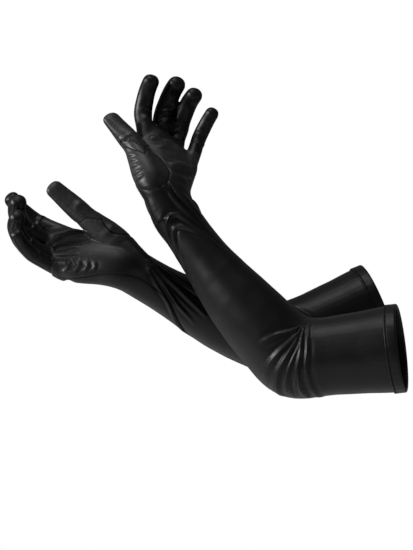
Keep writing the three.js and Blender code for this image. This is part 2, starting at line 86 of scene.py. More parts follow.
# The palm's cloth is pulled tight, and painted with sheen, between two distances along the arm, and eases in
# and out over these lengths.
STRETCH_SHEEN_START, STRETCH_SHEEN_RISE = 362, 45
STRETCH_SHEEN_END, STRETCH_SHEEN_FALL = 452, 14
STITCH_LIFT = 0.05
SEAM_DEPTH = 0.45
SEAM_WIDTH = 1.3
SEAM_REACH = 12.0  # a corner further than this from a seam keeps this value
SMOOTHING_ROUNDS = 12
VALLEY_ROUNDS = 50  # more for the valleys where fingers and thumb grow out of the hand
VALLEY_START, VALLEY_END = -40, 112  # the valleys of the hand lie between these distances past the wrist
VALLEY_LEVELS = 10

# ---- Arm, in the sizes of the solids ----
UPPER_LENGTH = 126
FOREARM_LENGTH = 239
CUFF_RADIUS = 49.6
UPPER_RADIUS = 45
WRIST_HALF_WIDTH = 28.5
WRIST_HALF_DEPTH = 25
ELBOW_REACH = 44
WRIST_REACH = 20
BEND_ROUNDNESS = 0.4
ELBOW_POINT = 8
FOREARM_BOW = 7
UPPER_GIRTH = [(0, CUFF_RADIUS), (0.2, 49), (0.5, 47), (1, UPPER_RADIUS)]
FORE_GIRTH = [(0, 43), (0.12, 41.8), (0.3, 38.3), (0.46, 34), (0.62, 30.8), (0.82, 27.8), (1, 26.5)]
ARM_START = -16  # the sleeve's volume starts this far before the cuff and is cut off later

# ---- Hem ----
HEM_WIDTH = 14
HEM_OVERLAP = 5
HEM_OUTSIDE = 51
HEM_INSIDE = 47.2
HEM_STITCHES = 11.6  # from the rim to its row of stitches

# ---- Hand ----
# The palm, the places of the knuckles and the lengths of the bones are those of the solids. The girths of the
# thumb and the fingers and the slant of the crotches are not: the loose satin is fuller than the solids.
PALM_LENGTH = 90
PALM_WIDTHS = [(0, WRIST_HALF_WIDTH + 1), (0.3, 34.5), (0.6, 38.5), (0.85, 39.5), (1, 38.5)]
PALM_DEPTHS = [(0, WRIST_HALF_DEPTH - 2), (0.3, 21.5), (0.6, 18.5), (0.85, 15), (1, 12.5)]
STALL_START = 4.5
KNUCKLE_EXTRA = 0.8  # a knuckle's ball is this much larger than the root of its finger
KNUCKLE_STRETCH = 2  # the ball is this many times longer than it is wide
KNUCKLE_SETBACK = 9  # and lies this far back from the knuckle
FINGER_CUT = 5  # from a finger's or thumb's hinge to where its own piece of skin begins
FINGER_REACH = 15  # a face further than this from a finger's or thumb's middle line is not its own
SLEEVE_CUT = 0.45  # share of the forearm where the sleeve's piece ends and the wrist's begins
HAND_CUT = 8  # the hand's piece begins this far past the wrist's bend
LINE_BREAK = 25  # a row of stitches never jumps further than this
TIP_JOINT_SHARE = 0.65

Finger = namedtuple("Finger", "knuckle root bones root_half half depth")
FINGERS = {
    "index": Finger((82, 27, 0), 16, (43, 25, 23), 10.3, 10.2, 9),
    "middle": Finger((84, 7, -3), 12, (47, 29, 24), 9.3, 10.4, 9.3),
    "ring": Finger((79, -13, -1), 12, (44, 28, 24), 9.1, 10, 9),
    "little": Finger((71, -31, 4), 15, (34, 21, 20), 9.2, 8.1, 7.6),
}
THUMB_BASE = (14, 22, 8)
THUMB_BONES = (59, 49)
THUMB_ROOT = [(-34, 4, 2), (-8, 11, 6)]  # the ball of the thumb grows out of the wrist through these places
THUMB_GIRTH = [(0, 9), (0.2, 14), (0.38, 17.5), (0.55, 19), (0.7, 18), (0.86, 15), (1, 12.8)]
THUMB_HALF = 14.4
THUMB_DEPTH = 10.6
THUMB_TIP_SHARE = (0.86, 0.62)
GUSSET_END = 0.88
THUMB_START = -50  # distances along the thumb count from its base joint
CROTCH_SLANT = 0.72  # the crotches lie this much further out per millimetre towards the index finger
CLOTH_EASE = {"index": 1.5, "middle": 2.4, "ring": 2.0, "little": 1.6}  # loose cloth round each finger
FINGER_TIP_SHARE = (0.86, 0.86)  # of the width and of the depth
PALM_SHORT = 4  # the crotches' line crosses the middle of the palm this much short of the solids' mouth

# ---- Pose of each glove, in degrees ----
# The angles are those of the solids, apart from the left middle finger, which is spread 3 degrees further.
# A finger is (spread, knuckle bend, middle joint bend) and a thumb bone is (outward, palmward).
Pose = namedtuple("Pose", "name side hand fingers thumb_base thumb_end")
POSES = [
    Pose(
        "left", 1, (36, 90.5, 25),
        {"index": (8, 2, 43), "middle": (-2, 4, 50), "ring": (-4, 4, 53), "little": (-13, 8, 40)},
        (24, -3), (42, -3),
    ),
    Pose(
        "right", -1, (14, 167, 41),
        {"index": (8, 3, 31), "middle": (1, 22, 52), "ring": (-5, 24, 51), "little": (-9, 34, 24)},
        (12, 31), (12, 32),
    ),
]

Ring = namedtuple("Ring", "centre axis across through wide deep")

# ---- Folds and seams ----
# A place on a limb's skin is (millimetres along it, degrees round it). The arm counts from the cuff, with the
# elbow at 126, the wrist at 365 and the finger roots near 440. 0 degrees is the thumb's side, 90 the palm's.
Fold = namedtuple("Fold", "limb path width height")
FOLDS = {
    "left": [
        # A fan of folds out of the inside of the elbow.
        Fold("arm", [(118, 70), (136, 42), (152, 12), (160, -14)], 2.6, 1.5),
        Fold("arm", [(116, 70), (126, 34), (138, -10), (138, -52)], 2.6, 2.2),
        Fold("arm", [(114, 70), (122, 26), (129, -18), (127, -60), (123, -88)], 2.6, 2.7),
        Fold("arm", [(112, 68), (116, 24), (121, -20), (120, -66)], 2.2, 1.9),
        Fold("arm", [(108, 70), (112, 20), (112, -24), (108, -60), (105, -86)], 2.5, 2.7),
        Fold("arm", [(102, 66), (104, 20), (104, -26), (100, -66), (96, -96)], 2.6, 1.7),
        Fold("arm", [(108, 84), (118, 130), (124, 170)], 3.0, 1.8),
        Fold("arm", [(120, 84), (134, 130), (140, 168)], 3.0, 1.8),
        # Hooks where the sleeve's spare length slides down from the wrist.
        Fold("arm", [(292, -42), (320, -6), (338, 26), (339, 52), (322, 70), (286, 84)], 1.9, 2.6),
        Fold("arm", [(280, -34), (306, -2), (324, 24), (324, 44), (313, 62), (296, 76), (266, 88)], 1.9, 2.5),
        Fold("arm", [(374, 58), (358, 68), (336, 79), (306, 88)], 2.0, 2.7),
        Fold("arm", [(376, 74), (354, 85), (328, 94), (298, 99)], 2.0, 2.7),
        Fold("arm", [(360, 24), (346, -18), (322, -50)], 4.8, 1.5),
        Fold("arm", [(364, 66), (344, 40), (328, 14)], 4.2, 1.4),
        Fold("arm", [(350, 120), (338, 150), (320, 176)], 3.6, 1.6),
        Fold("arm", [(340, -100), (346, -140), (352, -176)], 3.6, 1.6),
        Fold("arm", [(330, -84), (334, -130), (340, -172)], 3.6, 1.4),
        # Puckers along the ball of the thumb.
        Fold("thumb", [(47, -6), (41, 26), (36, 50)], 2.0, 1.0),
        Fold("thumb", [(39, -6), (34, 24), (30, 48)], 2.0, 1.1),
        Fold("thumb", [(29, -8), (26, 20), (23, 42)], 2.0, 1.2),
        Fold("thumb", [(19, -8), (16, 20), (14, 42)], 2.0, 1.1),
        Fold("thumb", [(10, -8), (9, 20), (8, 40)], 2.0, 1.0),
        Fold("thumb", [(72, -10), (70, 40), (67, 90)], 2.0, 0.8),
        # Palm.
        Fold("arm", [(398, 80), (405, 106), (414, 146)], 4.4, 3.0),
        Fold("arm", [(388, 86), (393, 114), (401, 146)], 3.6, -2.4),
        Fold("arm", [(366, 84), (353, 92), (338, 102), (322, 112)], 3.2, 1.9),
        Fold("arm", [(362, 98), (344, 112), (322, 120)], 3.0, 1.7),
        Fold("arm", [(392, 78), (384, 98), (381, 132)], 3.4, 1.3),
        Fold("arm", [(434, 52), (440, 62), (446, 78)], 3.4, 1.5),
        Fold("arm", [(422, 62), (427, 74), (433, 84)], 3.4, 1.5),
        Fold("arm", [(437, 78), (440, 96), (426, 106)], 2.4, 1.9),
        # Fingers.
        Fold("middle", [(56, 50), (70, 104), (80, 164)], 3.2, 2.2),
        Fold("middle", [(33, 30), (44, 84), (58, 150)], 2.2, 2.0),
        Fold("ring", [(44, -4), (50, 56), (62, 106)], 2.1, 2.0),
        Fold("ring", [(38, 14), (40, 66), (39, 120)], 2.0, 1.9),
        Fold("ring", [(28, 40), (31, 80), (35, 130)], 2.0, 1.9),
        Fold("little", [(50, 56), (54, 90), (58, 156)], 2.4, 1.2),
        Fold("little", [(33, 56), (36, 116), (40, 170)], 2.4, 1.2),
        Fold("index", [(56, 50), (60, 90), (58, 130)], 3.0, 0.9),
        Fold("index", [(40, 50), (42, 90), (40, 130)], 3.0, 0.9),
    ],
    "right": [
        # Long folds that run down the forearm.
        Fold("arm", [(352, 100), (330, 134), (301, 168), (266, -138), (240, -116)], 1.8, 2.5),
        Fold("arm", [(350, 96), (320, 128), (293, 158), (256, -172)], 1.8, 2.6),
        Fold("arm", [(344, 90), (308, 118), (280, 140), (250, 162)], 1.8, 2.5),
        Fold("arm", [(336, 84), (300, 104), (270, 122), (244, 140)], 1.8, 2.1),
        # Bunched cloth inside the elbow, the heel of the hand, and more folds round the elbow.
        Fold("arm", [(132, 70), (120, 96), (106, 124)], 9, 5.5),
        Fold("arm", [(136, 92), (107, 118), (98, 138), (86, 160)], 2.6, 3.2),
        Fold("arm", [(116, 86), (96, 118), (88, 140), (78, 160)], 2.5, 3.0),
        Fold("arm", [(446, 172), (398, 174), (350, 178)], 18, 3.6),
        Fold("arm", [(122, 80), (124, 120), (118, 160)], 3.2, 2.2),
        Fold("arm", [(112, 74), (104, 20), (100, -20)], 3.2, 1.8),
        Fold("arm", [(122, 70), (128, 20), (130, -24)], 3.2, 2.0),
        Fold("arm", [(134, 64), (146, 20), (152, -16)], 3.2, 1.6),
        # Creases that fan over the palm.
        Fold("arm", [(454, 96), (442, 78), (430, 62), (414, 44)], 1.9, 3.0),
        Fold("arm", [(452, 101), (436, 92), (420, 82), (404, 70)], 1.9, 3.0),
        Fold("arm", [(450, 106), (434, 102), (416, 94)], 1.8, 2.2),
        Fold("arm", [(450, 114), (432, 116), (412, 112)], 1.8, 2.2),
        Fold("arm", [(424, 122), (419, 138), (423, 156)], 1.8, 1.7),
        Fold("arm", [(412, 122), (407, 138), (411, 156)], 1.8, 1.9),
        Fold("arm", [(401, 124), (396, 138), (399, 154)], 1.8, 1.7),
        Fold("arm", [(391, 126), (387, 138), (388, 150)], 1.8, 1.3),
        # Thumb and fingers.
        Fold("thumb", [(66, 60), (68, 100), (66, 140)], 3.2, 1.0),
        Fold("thumb", [(24, 150), (20, 110), (22, 60)], 4.0, 1.1),
        Fold("index", [(48, 30), (52, 80), (48, 140)], 3.0, 0.9),
        Fold("middle", [(50, 30), (54, 80), (50, 140)], 3.0, 1.0),
        Fold("ring", [(48, 30), (52, 80), (48, 140)], 3.0, 1.0),
        Fold("little", [(40, 30), (43, 80), (40, 140)], 2.8, 0.9),
    ],
}
# Where the front and the back of a limb are sewn together, from one distance to another.
SLEEVE_SEAM = {
    "left": [(9, 180), (150, 180), (300, 180), (440, 180)],
    "right": [
        (9, -120), (150, -120), (236, -120), (264, -142), (299, 166), (330, 146), (356, 146), (396, 168),
        (440, 180),
    ],
}
SIDE_SEAMS = [
    ("thumb", 54, 103, 0), ("thumb", 54, 103, 180),
    *[(name, 30, last, side)
      for name, last in (("index", 101), ("middle", 108), ("ring", 103), ("little", 84))
      for side in (0, 180)],
]
GUSSET_SEAM = {
    "left": [
        (384, -16), (372, 6), (366, 30), (366, 54), (372, 70), (384, 78), (398, 70), (414, 50), (424, 22),
        (422, -14), (404, -32), (384, -16),
    ],
    "right": [
        (384, -20), (372, 0), (366, 26), (366, 46), (373, 60), (384, 66), (399, 63), (416, 50), (428, 22),
        (424, -16), (404, -36), (384, -20),
    ],
}
THUMB_SEAM = [
    (34, 84), (44, 48), (58, 0), (62, -50), (58, -110), (54, -160), (52, 164), (50, 126), (42, 102),
    (34, 84),
]


# ---- Vectors ----
def unit(v):
    return np.asarray(v, float) / np.linalg.norm(v)


def heading(turn, rise):
    t, r = math.radians(turn), math.radians(rise)
    return np.array([math.cos(t) * math.cos(r), math.sin(t), math.cos(t) * math.sin(r)])


def square_to(direction, axis):
    """The part of a direction that is square to an axis, at length 1."""
    return unit(direction - axis * np.dot(direction, axis))


def turned(v, axis, angle):
    """v turned about a unit axis by an angle in radians."""
    cos, sin = math.cos(angle), math.sin(angle)
    return v * cos + np.cross(axis, v) * sin + axis * np.dot(axis, v) * (1 - cos)


def mix(a, b, t):
    return a + (b - a) * t


def ease(t):
    t = min(1.0, max(0.0, t))
    return t * t * (3 - 2 * t)


def profile(pairs, share):
    """A value read from (share, value) pairs."""
    return float(np.interp(share, [p[0] for p in pairs], [p[1] for p in pairs]))


# ---- Skeleton ----
class Bones:
    """Where one arm and hand lie, read from the record's mount and joints and turned by the pose's angles."""

    def __init__(self, pose, frame):
        joints = {j["name"]: j for j in frame["joints"]}
        mounts = {m["name"]: m for m in frame["record"]["mounts"]}
        place = lambda name: np.array(joints[f"{pose.name}_{name}_bend"]["pos_m"]) / MM
        self.pose, self.side = pose, pose.side
        self.elbow, self.wrist = place("elbow"), place("wrist")
        self.hinges = {finger: place(finger) for finger in (*FINGERS, "thumb")}
        out_of_sleeve = unit(mounts[f"{pose.name}_hem_edge"]["axis"])
        self.upper = -out_of_sleeve
        self.cuff = self.elbow - self.upper * UPPER_LENGTH
        self.forearm = unit(self.wrist - self.elbow)
        turn, rise, roll = pose.hand
        self.length = heading(turn, rise)
        facing = square_to(np.array([0.0, -1.0, 0.0]), self.length)
        self.palm = turned(facing, self.length, math.radians(roll))
        self.thumbward = np.cross(self.palm, self.length) * self.side
        self.upper_through = square_to(self.forearm, self.upper)
        self.fore_through = square_to(-self.upper, self.forearm)
        palm_at_wrist = square_to(self.palm, self.forearm)
        self.twist = math.atan2(
            np.dot(np.cross(self.fore_through, palm_at_wrist), self.forearm),
            np.dot(self.fore_through, palm_at_wrist),
        )

    def across(self, through, axis):
        return unit(np.cross(through, axis) * self.side)

    def in_hand(self, place):
        out, thumbwards, palmwards = place
        return self.wrist + self.length * out + self.thumbward * thumbwards + self.palm * palmwards


# ---- Rings of the arm ----
def upper_ring(bones, distance):
    start, end = HEM_WIDTH - HEM_OVERLAP, UPPER_LENGTH - ELBOW_REACH
    share = (distance - start) / (end - start)
    radius = profile([(0.07, CUFF_RADIUS), *UPPER_GIRTH[1:]], share)
    through = bones.upper_through
    centre = bones.cuff + bones.upper * distance
    return Ring(centre, bones.upper, bones.across(through, bones.upper), through, radius, radius)


def forearm_ring(bones, share):
    through = turned(bones.fore_through, bones.forearm, bones.twist * ease(share))
    radius = profile(FORE_GIRTH, share)
    oval = profile([(0.5, 0), (1, 1)], share)
    distance = mix(ELBOW_REACH, FOREARM_LENGTH - WRIST_REACH, share)
    phase = math.pi * distance / FOREARM_LENGTH
    slope = -FOREARM_BOW * math.pi / FOREARM_LENGTH * math.cos(phase)
    axis = unit(bones.forearm + bones.fore_through * slope)
    centre = bones.elbow + bones.forearm * distance - bones.fore_through * FOREARM_BOW * math.sin(phase)
    through = square_to(through, axis)
    return Ring(
        centre, axis, bones.across(through, axis), through,
        mix(radius, WRIST_HALF_WIDTH, oval), mix(radius, WRIST_HALF_DEPTH, oval),
    )


def bend_rings(bones, start, end, steps, point=0.0):
    """Rings that carry one ring to another along a smooth bend; point is how far its outside stands out."""
    reach = BEND_ROUNDNESS * np.linalg.norm(end.centre - start.centre)
    a, b = start.centre, start.centre + start.axis * reach
    c, d = end.centre - end.axis * reach, end.centre
    rings = []
    for i in range(1, steps):
        t = i / steps
        s = 1 - t
        centre = a * s**3 + b * 3 * s * s * t + c * 3 * s * t * t + d * t**3
        axis = unit((b - a) * s * s + (c - b) * 2 * s * t + (d - c) * t * t)
        through = square_to(mix(start.through, end.through, t), axis)
        grow = point / 2 * math.sin(math.pi * t) ** 2
        rings.append(
            Ring(
                centre - through * grow, axis, bones.across(through, axis), through,
                mix(start.wide, end.wide, t), mix(start.deep, end.deep, t) + grow,
            )
        )
    return rings


def hand_ring(bones, share):
    slant = CROTCH_SLANT * ease(share) ** 2
    across = unit(bones.thumbward + bones.length * slant)
    axis = np.cross(across, bones.palm) * bones.side
    centre = bones.wrist + bones.length * mix(WRIST_REACH, PALM_LENGTH - PALM_SHORT, share)
    wide, deep = profile(PALM_WIDTHS, share), profile(PALM_DEPTHS, share)
    return Ring(centre, axis, across, bones.palm, wide, deep)


def arm_rings(bones):
    """The whole sleeve and palm as one row of rings, from beyond the cuff to the roots of the fingers."""
    upper = [upper_ring(bones, d) for d in np.linspace(ARM_START, UPPER_LENGTH - ELBOW_REACH, 24)]
    fore = [forearm_ring(bones, s) for s in np.linspace(0, 1, 40)]
    hand = [hand_ring(bones, s) for s in np.linspace(0, 1, 16)]
    mouth = hand[-1]
    root = mouth._replace(centre=mouth.centre + mouth.axis * 9, wide=mouth.wide - 1.5, deep=mouth.deep - 3.5)
    return [
        *upper, *bend_rings(bones, upper[-1], fore[0], 16, ELBOW_POINT),
        *fore, *bend_rings(bones, fore[-1], hand[0], 9), *hand, root,
    ]


# ---- Rings of the fingers and the thumb ----
def stall_rings(start, straight, bend, flexions, lengths, sizes, side, inside):
    """A finger or thumb from inside the hand to its tip.

    sizes are half the width at the root, half the width and depth at the middle, and the shares of those
    that are left at the tip.
    """
    root_half, half, depth, (tip_wide, tip_deep) = sizes
    across = unit(np.cross(bend, straight) * side)
    corners, angle = [np.asarray(start, float)], 0.0
    for flexion, bone in zip(flexions, lengths):
        angle += math.radians(flexion)
        corners.append(corners[-1] + (straight * math.cos(angle) + bend * math.sin(angle)) * bone)
    first = unit(corners[1] - corners[0])
    path = rounded_path([corners[0] - first * inside, *corners], softness=0.36)
    steps = np.linalg.norm(np.diff(path, axis=0), axis=1)
    travelled = np.concatenate([[0], np.cumsum(steps)])
    total = travelled[-1]
    dome = min(depth, half) * 0.95
    stations = [(d, 1.0) for d in np.linspace(0, total - dome, 36)]
    round_off = (0.3, 0.52, 0.7, 0.83, 0.92, 0.98)
    stations += [(total - dome * (1 - x), (1 - x**3) ** 0.4) for x in round_off]
    stations.append((total, 0.12))
    rings = []
    for distance, shrink in stations:
        centre = np.array([np.interp(distance, travelled, path[:, k]) for k in range(3)])
        ahead = np.array([np.interp(distance + 1.5, travelled, path[:, k]) for k in range(3)])
        behind = np.array([np.interp(distance - 1.5, travelled, path[:, k]) for k in range(3)])
        axis = unit(ahead - behind)
        grown = ease((distance - inside - STALL_START) / 22)
        along = ease((distance - inside) / (total - inside))
        wide = mix(root_half, half, grown) * shrink * mix(1, tip_wide, along)
        deep = mix(root_half * 0.97, depth, grown) * shrink * mix(1, tip_deep, along)
        rings.append(Ring(centre, axis, across, np.cross(axis, across) * side, wide, deep))
    return rings


def rounded_path(corners, softness):
    """Points along a line of bones whose joints are rounded off over a share of each bone."""
    points = [corners[0]]
    for before, joint, after in zip(corners, corners[1:], corners[2:]):
        a, b = mix(joint, before, softness), mix(joint, after, softness)
        points += [a * (1 - t) ** 2 + joint * 2 * t * (1 - t) + b * t * t for t in np.linspace(0, 1, 9)]
    return np.array([*points, corners[-1]])


def finger_rings(bones, name):
    size = FINGERS[name]
    spread, knuckle, joint = bones.pose.fingers[name]
    s, k = math.radians(spread), math.radians(knuckle)
    straight = bones.length * math.cos(s) + bones.thumbward * math.sin(s)
    first = straight * math.cos(k) + bones.palm * math.sin(k)
    root = bones.in_hand(size.knuckle) + first * size.root
    proximal, middle, tip = size.bones
    loose = CLOTH_EASE[name]
    return stall_rings(
        root, straight, bones.palm, (knuckle, joint, joint * TIP_JOINT_SHARE),
        (proximal - size.root, middle, tip),
        (size.root_half, size.half + loose, size.depth + loose, FINGER_TIP_SHARE), bones.side, size.root + 14,
    )


def knuckle_rings(bones, name):
    """A long ball round a finger's knuckle, which fills the corner between the palm and a bent finger."""
    size = FINGERS[name]
    out, thumbwards, palmwards = size.knuckle
    radius, centre = size.root_half + KNUCKLE_EXTRA, bones.in_hand((out - 3, thumbwards * 0.9, palmwards))
    rings = []
    for angle in np.radians(np.linspace(-85, 85, 18)):
        round_it = radius * math.cos(angle)
        forward = radius * math.sin(angle) * KNUCKLE_STRETCH - KNUCKLE_SETBACK
        place = centre + bones.length * forward
        rings.append(Ring(place, bones.length, bones.thumbward, bones.palm, round_it, round_it))
    return rings


def thumb_direction(bones, aim):
    outward, palmward = (math.radians(a) for a in aim)
    flat = bones.length * math.cos(outward) + bones.thumbward * math.sin(outward)
    return flat * math.cos(palmward) + bones.palm * math.sin(palmward)


def gusset_rings(bones):
    """The ball of the thumb, from inside the wrist to where the thumb's own stall begins."""
    base, first = bones.in_hand(THUMB_BASE), thumb_direction(bones, bones.pose.thumb_base)
    corners = [bones.in_hand(place) for place in THUMB_ROOT]
    corners += [base, base + first * THUMB_BONES[0] * GUSSET_END]
    path = rounded_path(corners, softness=0.45)
    total = np.concatenate([[0], np.cumsum(np.linalg.norm(np.diff(path, axis=0), axis=1))])
    spot = lambda distance: np.array([np.interp(distance, total, path[:, k]) for k in range(3)])
    rings = []
    for share in np.linspace(0, 1, 26):
        at = total[-1] * share
        axis = unit(spot(at + 1) - spot(at - 1))
        palmward = square_to(bones.palm, axis)
        half = profile(THUMB_GIRTH, share)
        rings.append(Ring(spot(at), axis, np.cross(palmward, axis) * bones.side, palmward, half, half))
    return rings


def thumb_rings(bones):
    second = thumb_direction(bones, bones.pose.thumb_end)
    return stall_rings(
        bones.hinges["thumb"], second, square_to(bones.palm, second), (0, 0),
        (THUMB_BONES[1] * 0.55, THUMB_BONES[1] * 0.45),
        (THUMB_HALF - 1, THUMB_HALF, THUMB_DEPTH, THUMB_TIP_SHARE), bones.side, 0.1,
    )


# ---- Places on the skin of a limb ----
class Limb:
    """A limb's rings at short steps, so that a place on its skin is (distance along it, degrees round it).

    0 degrees is the thumb's side and 90 degrees the palm's side, or the inside of the elbow.
    """

    def __init__(self, rings, start=0.0, step=1.5):
        known = start + np.concatenate([[0], np.cumsum([
            np.linalg.norm(b.centre - a.centre) for a, b in zip(rings, rings[1:])
        ])])
        self.at = np.arange(known[0], known[-1], step)
        self.step = step
        between = lambda rows: np.stack([np.interp(self.at, known, c) for c in np.array(rows).T], 1)
        self.centre = between([r.centre for r in rings])
        self.axis, self.across, self.through = (
            rows / np.linalg.norm(rows, axis=1, keepdims=True)
            for rows in (between([getattr(r, key) for r in rings]) for key in ("axis", "across", "through"))
        )
        self.wide, self.deep = between([(r.wide, r.deep) for r in rings]).T

    def unroll(self, points):
        """Distance, degrees, reach (1 on the skin) and radius for every point."""
        gap = (points**2).sum(1)[:, None] - 2 * points @ self.centre.T + (self.centre**2).sum(1)
        near = gap.argmin(1)
        offset = points - self.centre[near]
        dot = lambda rows: (offset * rows[near]).sum(1)
        distance = self.at[near] + np.clip(dot(self.axis), -self.step, self.step)
        x, y = dot(self.across) / self.wide[near], dot(self.through) / self.deep[near]
        return distance, np.degrees(np.arctan2(y, x)), np.hypot(x, y), (self.wide + self.deep)[near] / 2

    def place(self, distance, degrees):
        i = int(np.clip(round((distance - self.at[0]) / self.step), 0, len(self.at) - 1))
        turn = math.radians(degrees)
        sideways = self.across[i] * self.wide[i] * math.cos(turn)
        outwards = self.through[i] * self.deep[i] * math.sin(turn)
        return self.centre[i] + self.axis[i] * (distance - self.at[i]) + (sideways + outwards)


def limbs_of(bones):
    limbs = {"arm": Limb(arm_rings(bones), start=ARM_START)}
    limbs["thumb"] = Limb(gusset_rings(bones) + thumb_rings(bones)[1:], start=THUMB_START)
    for name in FINGERS:
        limbs[name] = Limb(finger_rings(bones, name))
    return limbs


def curved(path, steps=6):
    """A smooth curve of (distance, degrees) through the places of a path."""
    knots = np.array(path, float)
    knots[:, 1] = np.degrees(np.unwrap(np.radians(knots[:, 1])))
    if len(knots) == 2:
        return np.linspace(knots[0], knots[1], steps + 1)
    ends = [2 * knots[0] - knots[1], *knots, 2 * knots[-1] - knots[-2]]
    points = [knots[0]]
    for a, b, c, d in zip(ends, ends[1:], ends[2:], ends[3:]):
        for t in np.linspace(0, 1, steps + 1)[1:]:
            square, cube = 2 * a - 5 * b + 4 * c - d, 3 * b - a - 3 * c + d
            points.append(0.5 * (2 * b + (c - a) * t + square * t**2 + cube * t**3))
    return np.array(points)


def away_from(path, distance, degrees, radius):
    """How far each place lies from a path on the skin, and where along the path, from 0 to 1."""
    knots = curved(path)
    best, share = np.full(len(distance), 1e6), np.zeros(len(distance))
    arc = radius * math.pi / 180
    for i, (a, b) in enumerate(zip(knots, knots[1:])):
        x, y = distance - a[0], ((degrees - a[1] + 180) % 360 - 180) * arc
        dx, dy = b[0] - a[0], (b[1] - a[1]) * arc
        t = np.clip((x * dx + y * dy) / (dx * dx + dy * dy + 1e-9), 0, 1)
        gap = np.hypot(x - dx * t, y - dy * t)
        closer = gap < best
        best[closer] = gap[closer]
        share[closer] = ((i + t) / (len(knots) - 1))[closer]
    return best, share


# ---- Meshes ----
def on_ring(ring, angle, lift=0.0):
    """The point of a ring at an angle in radians, that far out of its skin."""
    wide, deep = ring.wide + lift, ring.deep + lift
    return ring.centre + ring.across * wide * math.cos(angle) + ring.through * deep * math.sin(angle)


def mesh_of(name, points, faces):
    mesh = bpy.data.meshes.new(name)
    mesh.from_pydata([tuple(np.asarray(p) * MM) for p in points], [], faces)
    mesh.update()
    return mesh


def object_of(name, mesh):
    piece = bpy.data.objects.new(name, mesh)
    bpy.context.scene.collection.objects.link(piece)
    return piece


def loft(rings, sides=48):
    """Points and faces of a closed tube through rings."""
    turns = [2 * math.pi * j / sides for j in range(sides)]
    points = [on_ring(r, t) for r in rings for t in turns]
    faces = []
    for i in range(len(rings) - 1):
        for j in range(sides):
            k = (j + 1) % sides
            faces.append((i * sides + j, i * sides + k, (i + 1) * sides + k, (i + 1) * sides + j))
    last = (len(rings) - 1) * sides
    faces.append(tuple(reversed(range(sides))))
    faces.append(tuple(range(last, last + sides)))
    return points, faces


def joined(name, volumes):
    points, faces = [], []
    for some_points, some_faces in volumes:
        shift = len(points)
        points += some_points
        faces += [tuple(i + shift for i in face) for face in some_faces]
    mesh = mesh_of(name, points, faces)
    shell = bmesh.new()
    shell.from_mesh(mesh)
    bmesh.ops.recalc_face_normals(shell, faces=shell.faces)
    shell.to_mesh(mesh)
    shell.free()
    return mesh


def evaluated(piece):
    """The mesh of a piece with its modifiers applied."""
    graph = bpy.context.evaluated_depsgraph_get()
    return bpy.data.meshes.new_from_object(piece.evaluated_get(graph), depsgraph=graph)


def skin_of(bones):
    """One even skin round the arm, the hand, the fingers and the thumb, cut open at the cuff."""
    tubes = [arm_rings(bones), gusset_rings(bones) + thumb_rings(bones)[1:]]
    tubes += [finger_rings(bones, name) for name in FINGERS]
    tubes += [knuckle_rings(bones, name) for name in FINGERS]
    piece = object_of("volumes", joined("volumes", [loft(rings) for rings in tubes]))
    remesh = piece.modifiers.new("even skin", "REMESH")
    remesh.mode = "VOXEL"
    remesh.voxel_size = SKIN_CELL * MM
    even = evaluated(piece)
    bpy.data.objects.remove(piece)
    piece = object_of("even", even)
    points = corners_of(even)
    out = (points - bones.wrist) @ bones.length
    valleys = np.clip((out - VALLEY_START) / 20, 0, 1) * np.clip((VALLEY_END - out) / 14, 0, 1)
    group = piece.vertex_groups.new(name="valleys")
    for level in range(1, VALLEY_LEVELS + 1):
        chosen = np.flatnonzero(np.round(valleys * VALLEY_LEVELS) == level)
        group.add([int(i) for i in chosen], level / VALLEY_LEVELS, "REPLACE")
    for rounds, vertices in ((SMOOTHING_ROUNDS, ""), (VALLEY_ROUNDS, "valleys")):
        smooth = piece.modifiers.new("soft", "SMOOTH")
        smooth.factor = 0.5
        smooth.iterations = rounds
        smooth.vertex_group = vertices
    skin = evaluated(piece)
    bpy.data.objects.remove(piece)
    shell = bmesh.new()
    shell.from_mesh(skin)
    edge = (bones.cuff + bones.upper * (HEM_WIDTH - HEM_OVERLAP)) * MM
    bmesh.ops.bisect_plane(
        shell, geom=[*shell.verts, *shell.edges, *shell.faces], dist=1e-6,
        plane_co=Vector(edge), plane_no=Vector(-bones.upper), clear_outer=True,
    )
    shell.to_mesh(skin)
    shell.free()
    return skin


# ---- Folds and seams in the skin ----
def corners_of(mesh):
    co = np.empty(len(mesh.vertices) * 3)
    mesh.vertices.foreach_get("co", co)
    return co.reshape(-1, 3) / MM


def normals_of(mesh):
    out = np.empty(len(mesh.vertices) * 3)
    mesh.vertices.foreach_get("normal", out)
    return out.reshape(-1, 3)


def seam_paths(side):
    """Every seam of a glove as (limb, path)."""
    sides = [(limb, [(start, turn), (end, turn)]) for limb, start, end, turn in SIDE_SEAMS]
    return [*sides, ("arm", SLEEVE_SEAM[side]), ("arm", GUSSET_SEAM[side]), ("thumb", THUMB_SEAM)]


def ridge(x):
    """A fold across its own width: a crest at 0 with a shallow hollow on each side."""
    return np.exp(-(x**2)) - 0.32 * np.exp(-((np.abs(x) - 2.1) ** 2))


def on_limb(reach):
    """1 for cloth that lies on a limb, easing to 0 further out from its middle line."""
    return np.clip((1.5 - reach) / 0.2, 0, 1)


def stretch_and_sheen(unrolled):
    """How far the cloth is pulled tight, 0 to 1: over the palm and the thumb, where the satin turns paler,
    partly from the stretch and partly as painted sheen where they face the light.
    """
    distance, degrees, reach, _ = unrolled["arm"]
    # The palm's side gets more than the back: painted sheen where it faces the light.
    palmward = np.clip(0.35 + 0.9 * np.sin(np.radians(degrees)), 0, 1)
    rise = np.clip((distance - STRETCH_SHEEN_START) / STRETCH_SHEEN_RISE, 0, 1)
    palm = rise * np.clip((STRETCH_SHEEN_END - distance) / STRETCH_SHEEN_FALL, 0, 1) * palmward
    # The whole thumb is paler: taut satin with painted sheen.
    along, _, thumb_reach, _ = unrolled["thumb"]
    thumb = np.clip((along + 8) / 20, 0, 1) * on_limb(thumb_reach)
    return np.maximum(palm * on_limb(reach), thumb)


